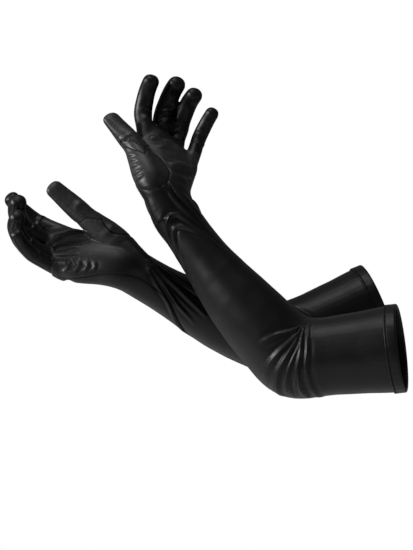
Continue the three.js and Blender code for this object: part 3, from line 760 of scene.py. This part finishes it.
def crease(skin, limbs, side):
    """Lifts the skin into its folds and draws in its seams.

    Each corner keeps its distance to the nearest seam and how far its cloth is pulled tight, which also marks
    the painted sheen on the palm and the thumb.
    """
    points, normals = corners_of(skin), normals_of(skin)
    unrolled = {name: limb.unroll(points) for name, limb in limbs.items()}
    push = np.zeros(len(points))
    for fold in FOLDS[side]:
        distance, degrees, reach, radius = unrolled[fold.limb]
        near = np.abs(reach - 1) < 0.5
        gap, share = away_from(fold.path, distance[near], degrees[near], radius[near])
        fade = np.sin(np.pi * np.clip(share, 0, 1)) ** 0.7
        shape = ridge(gap / fold.width) if fold.width < SWELL_WIDTH else np.exp(-((gap / fold.width) ** 2))
        push[near] += fold.height * fade * shape
    for i, place in enumerate(points):
        slow = noise.noise(Vector(place / SLACK_SIZE))
        quick = noise.noise(Vector(place / (SLACK_SIZE / 3)))
        push[i] += SLACK * (slow + 0.35 * quick)
    seam = np.full(len(points), SEAM_REACH)
    for limb, path in seam_paths(side):
        distance, degrees, reach, radius = unrolled[limb]
        near = (reach > 0.75) & (reach < (1.9 if limb == "arm" else 1.4))
        gap, share = away_from(path, distance[near], degrees[near], radius[near])
        seam[near] = np.minimum(seam[near], gap)
    push -= SEAM_DEPTH * np.exp(-((seam / SEAM_WIDTH) ** 2))
    points += normals * push[:, None]
    skin.vertices.foreach_set("co", (points * MM).ravel())
    # The stretch attribute holds painted sheen on the palm and the thumb as well as how taut the cloth is.
    for name, values in (("seam", seam), ("stretch", stretch_and_sheen(unrolled))):
        skin.attributes.new(name, "FLOAT", "POINT").data.foreach_set("value", values.astype(np.float32))
    skin.update()


# ---- Cutting the skin near the joints ----
def distance_to_path(points, path):
    best = np.full(len(points), np.inf)
    for a, b in zip(path, path[1:]):
        along = np.clip((points - a) @ (b - a) / np.dot(b - a, b - a), 0, 1)
        best = np.minimum(best, np.linalg.norm(points - a - along[:, None] * (b - a), axis=1))
    return best


def outward_from(bones, name):
    """The direction of a finger or thumb where it leaves its hinge."""
    rings = thumb_rings(bones) if name == "thumb" else finger_rings(bones, name)
    if name == "thumb":
        return rings[0].axis
    return min(rings, key=lambda ring: np.linalg.norm(ring.centre - bones.hinges[name])).axis


def regions_of(mesh, bones):
    """For every face, the name of the piece it belongs to."""
    centres = np.empty(len(mesh.polygons) * 3)
    mesh.polygons.foreach_get("center", centres)
    centres = centres.reshape(-1, 3) / MM
    names = ["sleeve", "wrist", "hand", "thumb", *FINGERS]
    region = np.zeros(len(centres), int)
    region[(centres - bones.elbow) @ bones.forearm > FOREARM_LENGTH * SLEEVE_CUT] = 1
    region[(centres - bones.wrist) @ bones.length > WRIST_REACH + HAND_CUT] = 2
    in_hand = region == 2
    stalls = {name: finger_rings(bones, name) for name in FINGERS}
    stalls["thumb"] = thumb_rings(bones)
    reach = np.array([distance_to_path(centres, [r.centre for r in stalls[n]]) for n in names[3:]])
    nearest = reach.argmin(0)
    for i, name in enumerate(names[3:]):
        past = (centres - bones.hinges[name]) @ outward_from(bones, name) > FINGER_CUT
        region[in_hand & past & (nearest == i) & (reach[i] < FINGER_REACH)] = 3 + i
    return names, region


def split(mesh, bones):
    """The skin's pieces by name, each a mesh of its own."""
    names, region = regions_of(mesh, bones)
    pieces = {}
    for i, name in enumerate(names):
        part = bmesh.new()
        part.from_mesh(mesh)
        part.faces.ensure_lookup_table()
        others = [part.faces[k] for k in np.flatnonzero(region != i)]
        bmesh.ops.delete(part, geom=others, context="FACES")
        made = bpy.data.meshes.new(f"{bones.pose.name}_{name}")
        part.to_mesh(made)
        part.free()
        pieces[name] = made
    return pieces


def thicken(mesh, thickness):
    piece = object_of("thin", mesh)
    wall = piece.modifiers.new("cloth", "SOLIDIFY")
    wall.thickness = thickness * MM
    wall.offset = -1
    made = evaluated(piece)
    bpy.data.objects.remove(piece)
    made.polygons.foreach_set("use_smooth", np.ones(len(made.polygons), bool))
    made.set_sharp_from_angle(angle=math.radians(65))
    return made


# ---- Stitches ----
def socket_of(tree, name):
    return next(item.identifier for item in tree.interface.items_tree if item.name == name)


def stitch_tree():
    """Geometry Nodes: short rounded threads laid end to end along a line of edges."""
    tree = bpy.data.node_groups.new("row of stitches", "GeometryNodeTree")
    for name, kind, value in (
        ("Line", "NodeSocketGeometry", None), ("Pitch", "NodeSocketFloat", 0.0026),
        ("Stitch Length", "NodeSocketFloat", 0.0019), ("Thread", "NodeSocketFloat", 0.00016),
        ("Material", "NodeSocketMaterial", None),
    ):
        made = tree.interface.new_socket(name, in_out="INPUT", socket_type=kind)
        if value is not None:
            made.default_value = value
    tree.interface.new_socket("Stitches", in_out="OUTPUT", socket_type="NodeSocketGeometry")
    add, link = tree.nodes.new, tree.links.new
    given, result = add("NodeGroupInput"), add("NodeGroupOutput")
    curve, spaced = add("GeometryNodeMeshToCurve"), add("GeometryNodeResampleCurve")
    spaced.mode = "LENGTH"
    thread, turn = add("GeometryNodeMeshIcoSphere"), add("FunctionNodeAlignEulerToVector")
    thread.inputs["Subdivisions"].default_value = 2
    turn.axis = "Z"
    tangent, size = add("GeometryNodeInputTangent"), add("ShaderNodeCombineXYZ")
    half, laid = add("ShaderNodeMath"), add("GeometryNodeInstanceOnPoints")
    half.operation = "MULTIPLY"
    half.inputs[1].default_value = 0.5
    real, finish = add("GeometryNodeRealizeInstances"), add("GeometryNodeSetMaterial")
    thread.inputs["Radius"].default_value = 1.0
    link(given.outputs["Line"], curve.inputs["Mesh"])
    link(curve.outputs["Curve"], spaced.inputs["Curve"])
    link(given.outputs["Pitch"], spaced.inputs["Length"])
    link(spaced.outputs["Curve"], laid.inputs["Points"])
    link(thread.outputs["Mesh"], laid.inputs["Instance"])
    link(tangent.outputs["Tangent"], turn.inputs["Vector"])
    link(turn.outputs["Rotation"], laid.inputs["Rotation"])
    link(given.outputs["Stitch Length"], half.inputs[0])
    link(given.outputs["Thread"], size.inputs["X"])
    link(given.outputs["Thread"], size.inputs["Y"])
    link(half.outputs[0], size.inputs["Z"])
    link(size.outputs["Vector"], laid.inputs["Scale"])
    link(laid.outputs["Instances"], real.inputs["Geometry"])
    link(real.outputs["Geometry"], finish.inputs["Geometry"])
    link(given.outputs["Material"], finish.inputs["Material"])
    link(finish.outputs["Geometry"], result.inputs["Stitches"])
    return tree


def stitches_along(name, lines, tree, thread):
    """A mesh of stitches along lines of points in millimetres."""
    points, edges = [], []
    for line in lines:
        edges += [(len(points) + i, len(points) + i + 1) for i in range(len(line) - 1)]
        points += list(line)
    mesh = bpy.data.meshes.new(name)
    mesh.from_pydata([tuple(np.asarray(p) * MM) for p in points], edges, [])
    piece = object_of(name, mesh)
    row = piece.modifiers.new("stitches", "NODES")
    row.node_group = tree
    row[socket_of(tree, "Material")] = thread
    made = evaluated(piece)
    bpy.data.objects.remove(piece)
    made.polygons.foreach_set("use_smooth", np.ones(len(made.polygons), bool))
    return made


def seam_lines(skin, limbs, bones):
    """The seams as points just proud of the creased skin, keyed by the piece that each stretch lies on."""
    tree = BVHTree.FromPolygons([v.co for v in skin.vertices], [p.vertices for p in skin.polygons])
    names, region = regions_of(skin, bones)
    lines = {name: [] for name in names}
    for limb, path in seam_paths(bones.pose.name):
        knots = curved(path, steps=24) if len(path) > 2 else np.linspace(path[0], path[1], 90)
        run, owner = [], None
        for distance, degrees in knots:
            spot, normal, face, _ = tree.find_nearest(Vector(limbs[limb].place(distance, degrees) * MM))
            here = names[region[face]]
            if here != owner or (run and np.linalg.norm(run[-1] - np.array(spot) / MM) > LINE_BREAK):
                if len(run) > 2:
                    lines[owner].append(run)
                run, owner = [], here
            run.append(np.array(spot) / MM + np.array(normal) * STITCH_LIFT)
        if len(run) > 2:
            lines[owner].append(run)
    return lines


# ---- Hem ----
def hem_mesh(bones, name):
    """A band folded over the edge of the sleeve: outer layer, rounded fold and inner layer."""
    middle, half = (HEM_OUTSIDE + HEM_INSIDE) / 2, (HEM_OUTSIDE - HEM_INSIDE) / 2
    layer = 0.8
    edge = HEM_WIDTH - 0.3
    outline = [(HEM_OUTSIDE, edge), (HEM_OUTSIDE, HEM_STITCHES + 1), (HEM_OUTSIDE - 0.2, HEM_STITCHES)]
    outline += [(HEM_OUTSIDE, HEM_STITCHES - 1), (HEM_OUTSIDE - 0.05, 6), (HEM_OUTSIDE, 2.4)]
    round_fold = np.radians([20, 50, 90, 130, 160])
    outline += [(middle + half * math.cos(a), half * (1 - math.sin(a))) for a in round_fold]
    outline += [(HEM_INSIDE, 2.4), (HEM_INSIDE, 8), (HEM_INSIDE, edge), (HEM_INSIDE + 0.3, HEM_WIDTH)]
    outline += [(HEM_INSIDE + layer, edge), (HEM_INSIDE + layer, 2.4), (middle, 1.2)]
    outline += [(HEM_OUTSIDE - layer, 2.4), (HEM_OUTSIDE - layer, edge), (HEM_OUTSIDE - 0.3, HEM_WIDTH)]
    ring = upper_ring(bones, 0)
    sides = 240
    points, faces = [], []
    for j in range(sides):
        turn = 2 * math.pi * j / sides
        for radius, distance in outline:
            pucker = 0.12 * math.sin(turn * 37) * ease(distance / HEM_WIDTH) if radius > middle else 0
            outward = ring.across * math.cos(turn) + ring.through * math.sin(turn)
            points.append(ring.centre + ring.axis * distance + outward * (radius + pucker))
    count = len(outline)
    for j in range(sides):
        k = (j + 1) % sides
        for i in range(count):
            n = (i + 1) % count
            faces.append((j * count + i, j * count + n, k * count + n, k * count + i))
    mesh = joined(name, [(points, faces)])
    mesh.polygons.foreach_set("use_smooth", np.ones(len(mesh.polygons), bool))
    seam = [abs(distance - HEM_STITCHES) if radius > middle else SEAM_REACH for radius, distance in outline]
    values = np.tile(seam, sides).astype(np.float32)
    mesh.attributes.new("seam", "FLOAT", "POINT").data.foreach_set("value", values)
    return mesh


# ---- Materials ----
def material(name, colour, roughness, specular, sheen=0.0):
    made = bpy.data.materials.new(name)
    made.use_nodes = True
    shader = made.node_tree.nodes["Principled BSDF"]
    shader.inputs["Base Color"].default_value = (*colour, 1)
    shader.inputs["Roughness"].default_value = roughness
    shader.inputs["Specular IOR Level"].default_value = specular
    shader.inputs["Sheen Weight"].default_value = sheen
    shader.inputs["Sheen Roughness"].default_value = 0.35
    return made, shader


def mottle(made, scale, low, high, stretch=(1, 1, 1), detail=3.0):
    """A soft pattern on the object's own coordinates, between two values."""
    add, link = made.node_tree.nodes.new, made.node_tree.links.new
    where, grow = add("ShaderNodeTexCoord"), add("ShaderNodeMapping")
    cloud, span = add("ShaderNodeTexNoise"), add("ShaderNodeMapRange")
    grow.inputs["Scale"].default_value = stretch
    cloud.inputs["Scale"].default_value = scale
    cloud.inputs["Detail"].default_value = detail
    span.inputs["From Min"].default_value = 0.3
    span.inputs["From Max"].default_value = 0.7
    span.inputs["To Min"].default_value = low
    span.inputs["To Max"].default_value = high
    link(where.outputs["Object"], grow.inputs["Vector"])
    link(grow.outputs["Vector"], cloud.inputs["Vector"])
    link(cloud.outputs["Fac"], span.inputs["Value"])
    return span.outputs["Result"]


def two_tone(made, factor, dark, light):
    blend = made.node_tree.nodes.new("ShaderNodeMix")
    blend.data_type = "RGBA"
    blend.inputs[6].default_value = (*dark, 1)
    blend.inputs[7].default_value = (*light, 1)
    made.node_tree.links.new(factor, blend.inputs[0])
    return blend.outputs[2]


def bumped(made, height, distance, strength, after=None):
    bump = made.node_tree.nodes.new("ShaderNodeBump")
    bump.inputs["Distance"].default_value = distance
    bump.inputs["Strength"].default_value = strength
    made.node_tree.links.new(height, bump.inputs["Height"])
    if after:
        made.node_tree.links.new(after, bump.inputs["Normal"])
    return bump.outputs["Normal"]


def satin(name, base, light):
    """Stretch satin: fine warp, soft shine, paler where it is pulled tight and where painted sheen lies on
    the palm and the thumb, and drawn in along every seam.
    """
    made, shader = material(name, base, 0.5, 0.25, 0.05)
    add, link = made.node_tree.nodes.new, made.node_tree.links.new
    loose = two_tone(made, mottle(made, 34, 0, 1), base, light)
    # Paler colours for taut cloth, partly from the stretch and partly as painted sheen where the palm and the
    # thumb face the light.
    taut_and_sheen = two_tone(made, mottle(made, 640, 0, 1, detail=3), STRETCH_SHEEN_DARK, STRETCH_SHEEN_LIGHT)
    stretch_and_sheen_field, colour_with_sheen, sewn_colour = add("ShaderNodeAttribute"), add("ShaderNodeMix"), add("ShaderNodeMix")
    stretch_and_sheen_field.attribute_name = "stretch"
    colour_with_sheen.data_type = sewn_colour.data_type = "RGBA"
    link(stretch_and_sheen_field.outputs["Fac"], colour_with_sheen.inputs[0])
    link(loose, colour_with_sheen.inputs[6])
    link(taut_and_sheen, colour_with_sheen.inputs[7])
    near, drawn, shine = add("ShaderNodeAttribute"), add("ShaderNodeMapRange"), add("ShaderNodeMix")
    near.attribute_name = "seam"
    drawn.interpolation_type = "SMOOTHSTEP"
    drawn.inputs["From Min"].default_value = 0.25
    drawn.inputs["From Max"].default_value = 0.9
    link(near.outputs["Fac"], drawn.inputs["Value"])
    sewn_colour.inputs[6].default_value = (0.001, 0.001, 0.001, 1)
    link(drawn.outputs["Result"], sewn_colour.inputs[0])
    link(colour_with_sheen.outputs[2], sewn_colour.inputs[7])
    link(sewn_colour.outputs[2], shader.inputs["Base Color"])
    shine.inputs[2].default_value = 0.95
    link(drawn.outputs["Result"], shine.inputs[0])
    link(mottle(made, 60, 0.385, 0.435, detail=4), shine.inputs[3])
    link(shine.outputs[0], shader.inputs["Roughness"])
    warp = mottle(made, 1, 0, 1, stretch=(2600, 2600, 500), detail=1)
    cloth = bumped(made, warp, 0.00012, 0.35)
    link(bumped(made, drawn.outputs["Result"], 0.0005, 0.9, after=cloth), shader.inputs["Normal"])
    return made


def knit(name):
    """Covered elastic: ribs across a matt tape."""
    made, shader = material(name, (0.012, 0.012, 0.013), 0.8, 0.2, 0.3)
    colour = two_tone(made, mottle(made, 400, 0, 1), (0.007, 0.007, 0.008), (0.02, 0.02, 0.022))
    made.node_tree.links.new(colour, shader.inputs["Base Color"])
    ribs = mottle(made, 1, 0, 1, stretch=(300, 2600, 2600), detail=1)
    made.node_tree.links.new(bumped(made, ribs, 0.0003, 0.8), shader.inputs["Normal"])
    return made


def thread_finish(name):
    made, shader = material(name, (0.003, 0.003, 0.003), 0.9, 0.06)
    colour = two_tone(made, mottle(made, 900, 0, 1), (0.002, 0.002, 0.0022), (0.004, 0.004, 0.0042))
    made.node_tree.links.new(colour, shader.inputs["Base Color"])
    return made


# ---- Assembly ----
HAND_NODES = [
    "palm", "hand_back", "thumb_gusset", "thumb_bunch", "knuckle_bunch",
    "fourchette_index_middle", "fourchette_middle_ring", "fourchette_ring_little",
]


def carry(piece, name, bones):
    """Attaches the hand's piece to the hand's body; every other piece has its place baked into its mesh and
    stays still.
    """
    side = bones.pose.name
    if name == "hand":
        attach(piece, f"{side}_hand")
    elif name == "sleeve":
        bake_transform(piece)
    elif name == "wrist":
        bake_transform(piece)
    else:
        hinge, out = bones.hinges[name], outward_from(bones, name)
        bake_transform(piece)


def replaced_by(name):
    """The solids of the frame that a piece stands in for."""
    if name == "hand":
        return HAND_NODES
    if name == "sleeve":
        return ["upper_sleeve_front", "upper_sleeve_back", "elbow_bunch"]
    if name == "wrist":
        return ["forearm_sleeve_front", "forearm_sleeve_back", "wrist_bunch"]
    return [f"{name}_front", f"{name}_back"]


def glove(pose, frame, finishes, tree):
    bones = Bones(pose, frame)
    side = pose.name
    limbs = limbs_of(bones)
    skin = skin_of(bones)
    crease(skin, limbs, side)
    lines = seam_lines(skin, limbs, bones)
    for name, mesh in split(skin, bones).items():
        piece = object_of(f"{side}_{name}_satin", thicken(mesh, SATIN_THICKNESS))
        piece.data.materials.append(finishes["satin"])
        carry(piece, name, bones)
        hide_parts(*[f"{side}_{node}" for node in replaced_by(name)])
        if lines[name]:
            rows = object_of(f"{side}_{name}_stitches",
                             stitches_along(f"{side}_{name}_stitches", lines[name], tree, finishes["thread"]))
            carry(rows, name, bones)

    hem = object_of(f"{side}_hem_fold", hem_mesh(bones, f"{side}_hem_fold"))
    hem.data.materials.append(finishes["hem"])
    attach(hem, f"{side}_upper_sleeve")
    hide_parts(f"{side}_hem_band")
    ring = upper_ring(bones, 0)
    level = ring.centre + ring.axis * HEM_STITCHES
    round_hem = ring._replace(centre=level, wide=HEM_OUTSIDE, deep=HEM_OUTSIDE)
    row = [on_ring(round_hem, turn, 0.1) for turn in np.linspace(0, 2 * math.pi, 241)]
    hem_row = object_of(f"{side}_hem_stitches",
                        stitches_along(f"{side}_hem_stitches", [row], tree, finishes["thread"]))
    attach(hem_row, f"{side}_upper_sleeve")
    tape = frame["nodes"][f"{side}_hem_elastic"]
    tape.data.materials.clear()
    tape.data.materials.append(finishes["elastic"])


def add_camera():
    camera = bpy.data.cameras.new("camera")
    camera.lens = 126.3
    camera.sensor_width = 36
    camera.clip_end = 50
    seen = bpy.data.objects.new("camera", camera)
    seen.location = (-0.22287, -2.2, 0.08322)
    seen.rotation_euler = (math.pi / 2, 0, 0)
    bpy.context.scene.collection.objects.link(seen)
    bpy.context.scene.camera = seen


def add_light(name, place, aim, size, power):
    lamp = bpy.data.lights.new(name, "AREA")
    lamp.shape = "SQUARE"
    lamp.size = size
    lamp.energy = power
    lit = bpy.data.objects.new(name, lamp)
    lit.location = place
    lit.rotation_euler = (Vector(aim) - Vector(place)).to_track_quat("-Z", "Y").to_euler()
    bpy.context.scene.collection.objects.link(lit)


def add_studio():
    world = bpy.data.worlds.new("studio")
    world.use_nodes = True
    add, link = world.node_tree.nodes.new, world.node_tree.links.new
    dim, bright = world.node_tree.nodes["Background"], add("ShaderNodeBackground")
    seen, either = add("ShaderNodeLightPath"), add("ShaderNodeMixShader")
    dim.inputs["Color"].default_value = (1, 1, 1, 1)
    dim.inputs["Strength"].default_value = ROOM_LIGHT
    bright.inputs["Color"].default_value = (1, 1, 1, 1)
    bright.inputs["Strength"].default_value = 1.0
    link(seen.outputs["Is Camera Ray"], either.inputs[0])
    link(dim.outputs[0], either.inputs[1])
    link(bright.outputs[0], either.inputs[2])
    link(either.outputs[0], world.node_tree.nodes["World Output"].inputs["Surface"])
    bpy.context.scene.world = world
    bpy.context.scene.view_settings.view_transform = "Standard"
    middle = (-0.2, 0.06, 0.08)
    add_light("key", (-2.3, -0.45, 0.8), middle, 0.6, 70)
    add_light("fill", (1.5, -1.5, 0.1), middle, 0.9, 3)
    add_light("top", (-0.5, -0.2, 1.8), middle, 0.6, 9)
    floor = bpy.data.meshes.new("floor")
    shape = bmesh.new()
    bmesh.ops.create_circle(shape, cap_ends=True, radius=1.5, segments=96)
    bmesh.ops.translate(shape, verts=shape.verts, vec=(-0.2, 0.1, -0.6))
    shape.to_mesh(floor)
    shape.free()
    ground = object_of("floor", floor)
    ground.data.materials.append(material("pale floor", (0.82, 0.82, 0.82), 0.7, 0.3)[0])


def main():
    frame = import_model()
    add_camera()
    finishes = {
        "satin": satin("black satin", (0.0022, 0.0021, 0.0023), (0.0042, 0.004, 0.0043)),
        "hem": satin("hem satin", (0.002, 0.002, 0.0022), (0.0038, 0.0037, 0.004)),
        "thread": thread_finish("thread"),
        "elastic": knit("elastic knit"),
    }
    tree = stitch_tree()
    for pose in POSES:
        glove(pose, frame, finishes, tree)
    add_studio()


main()
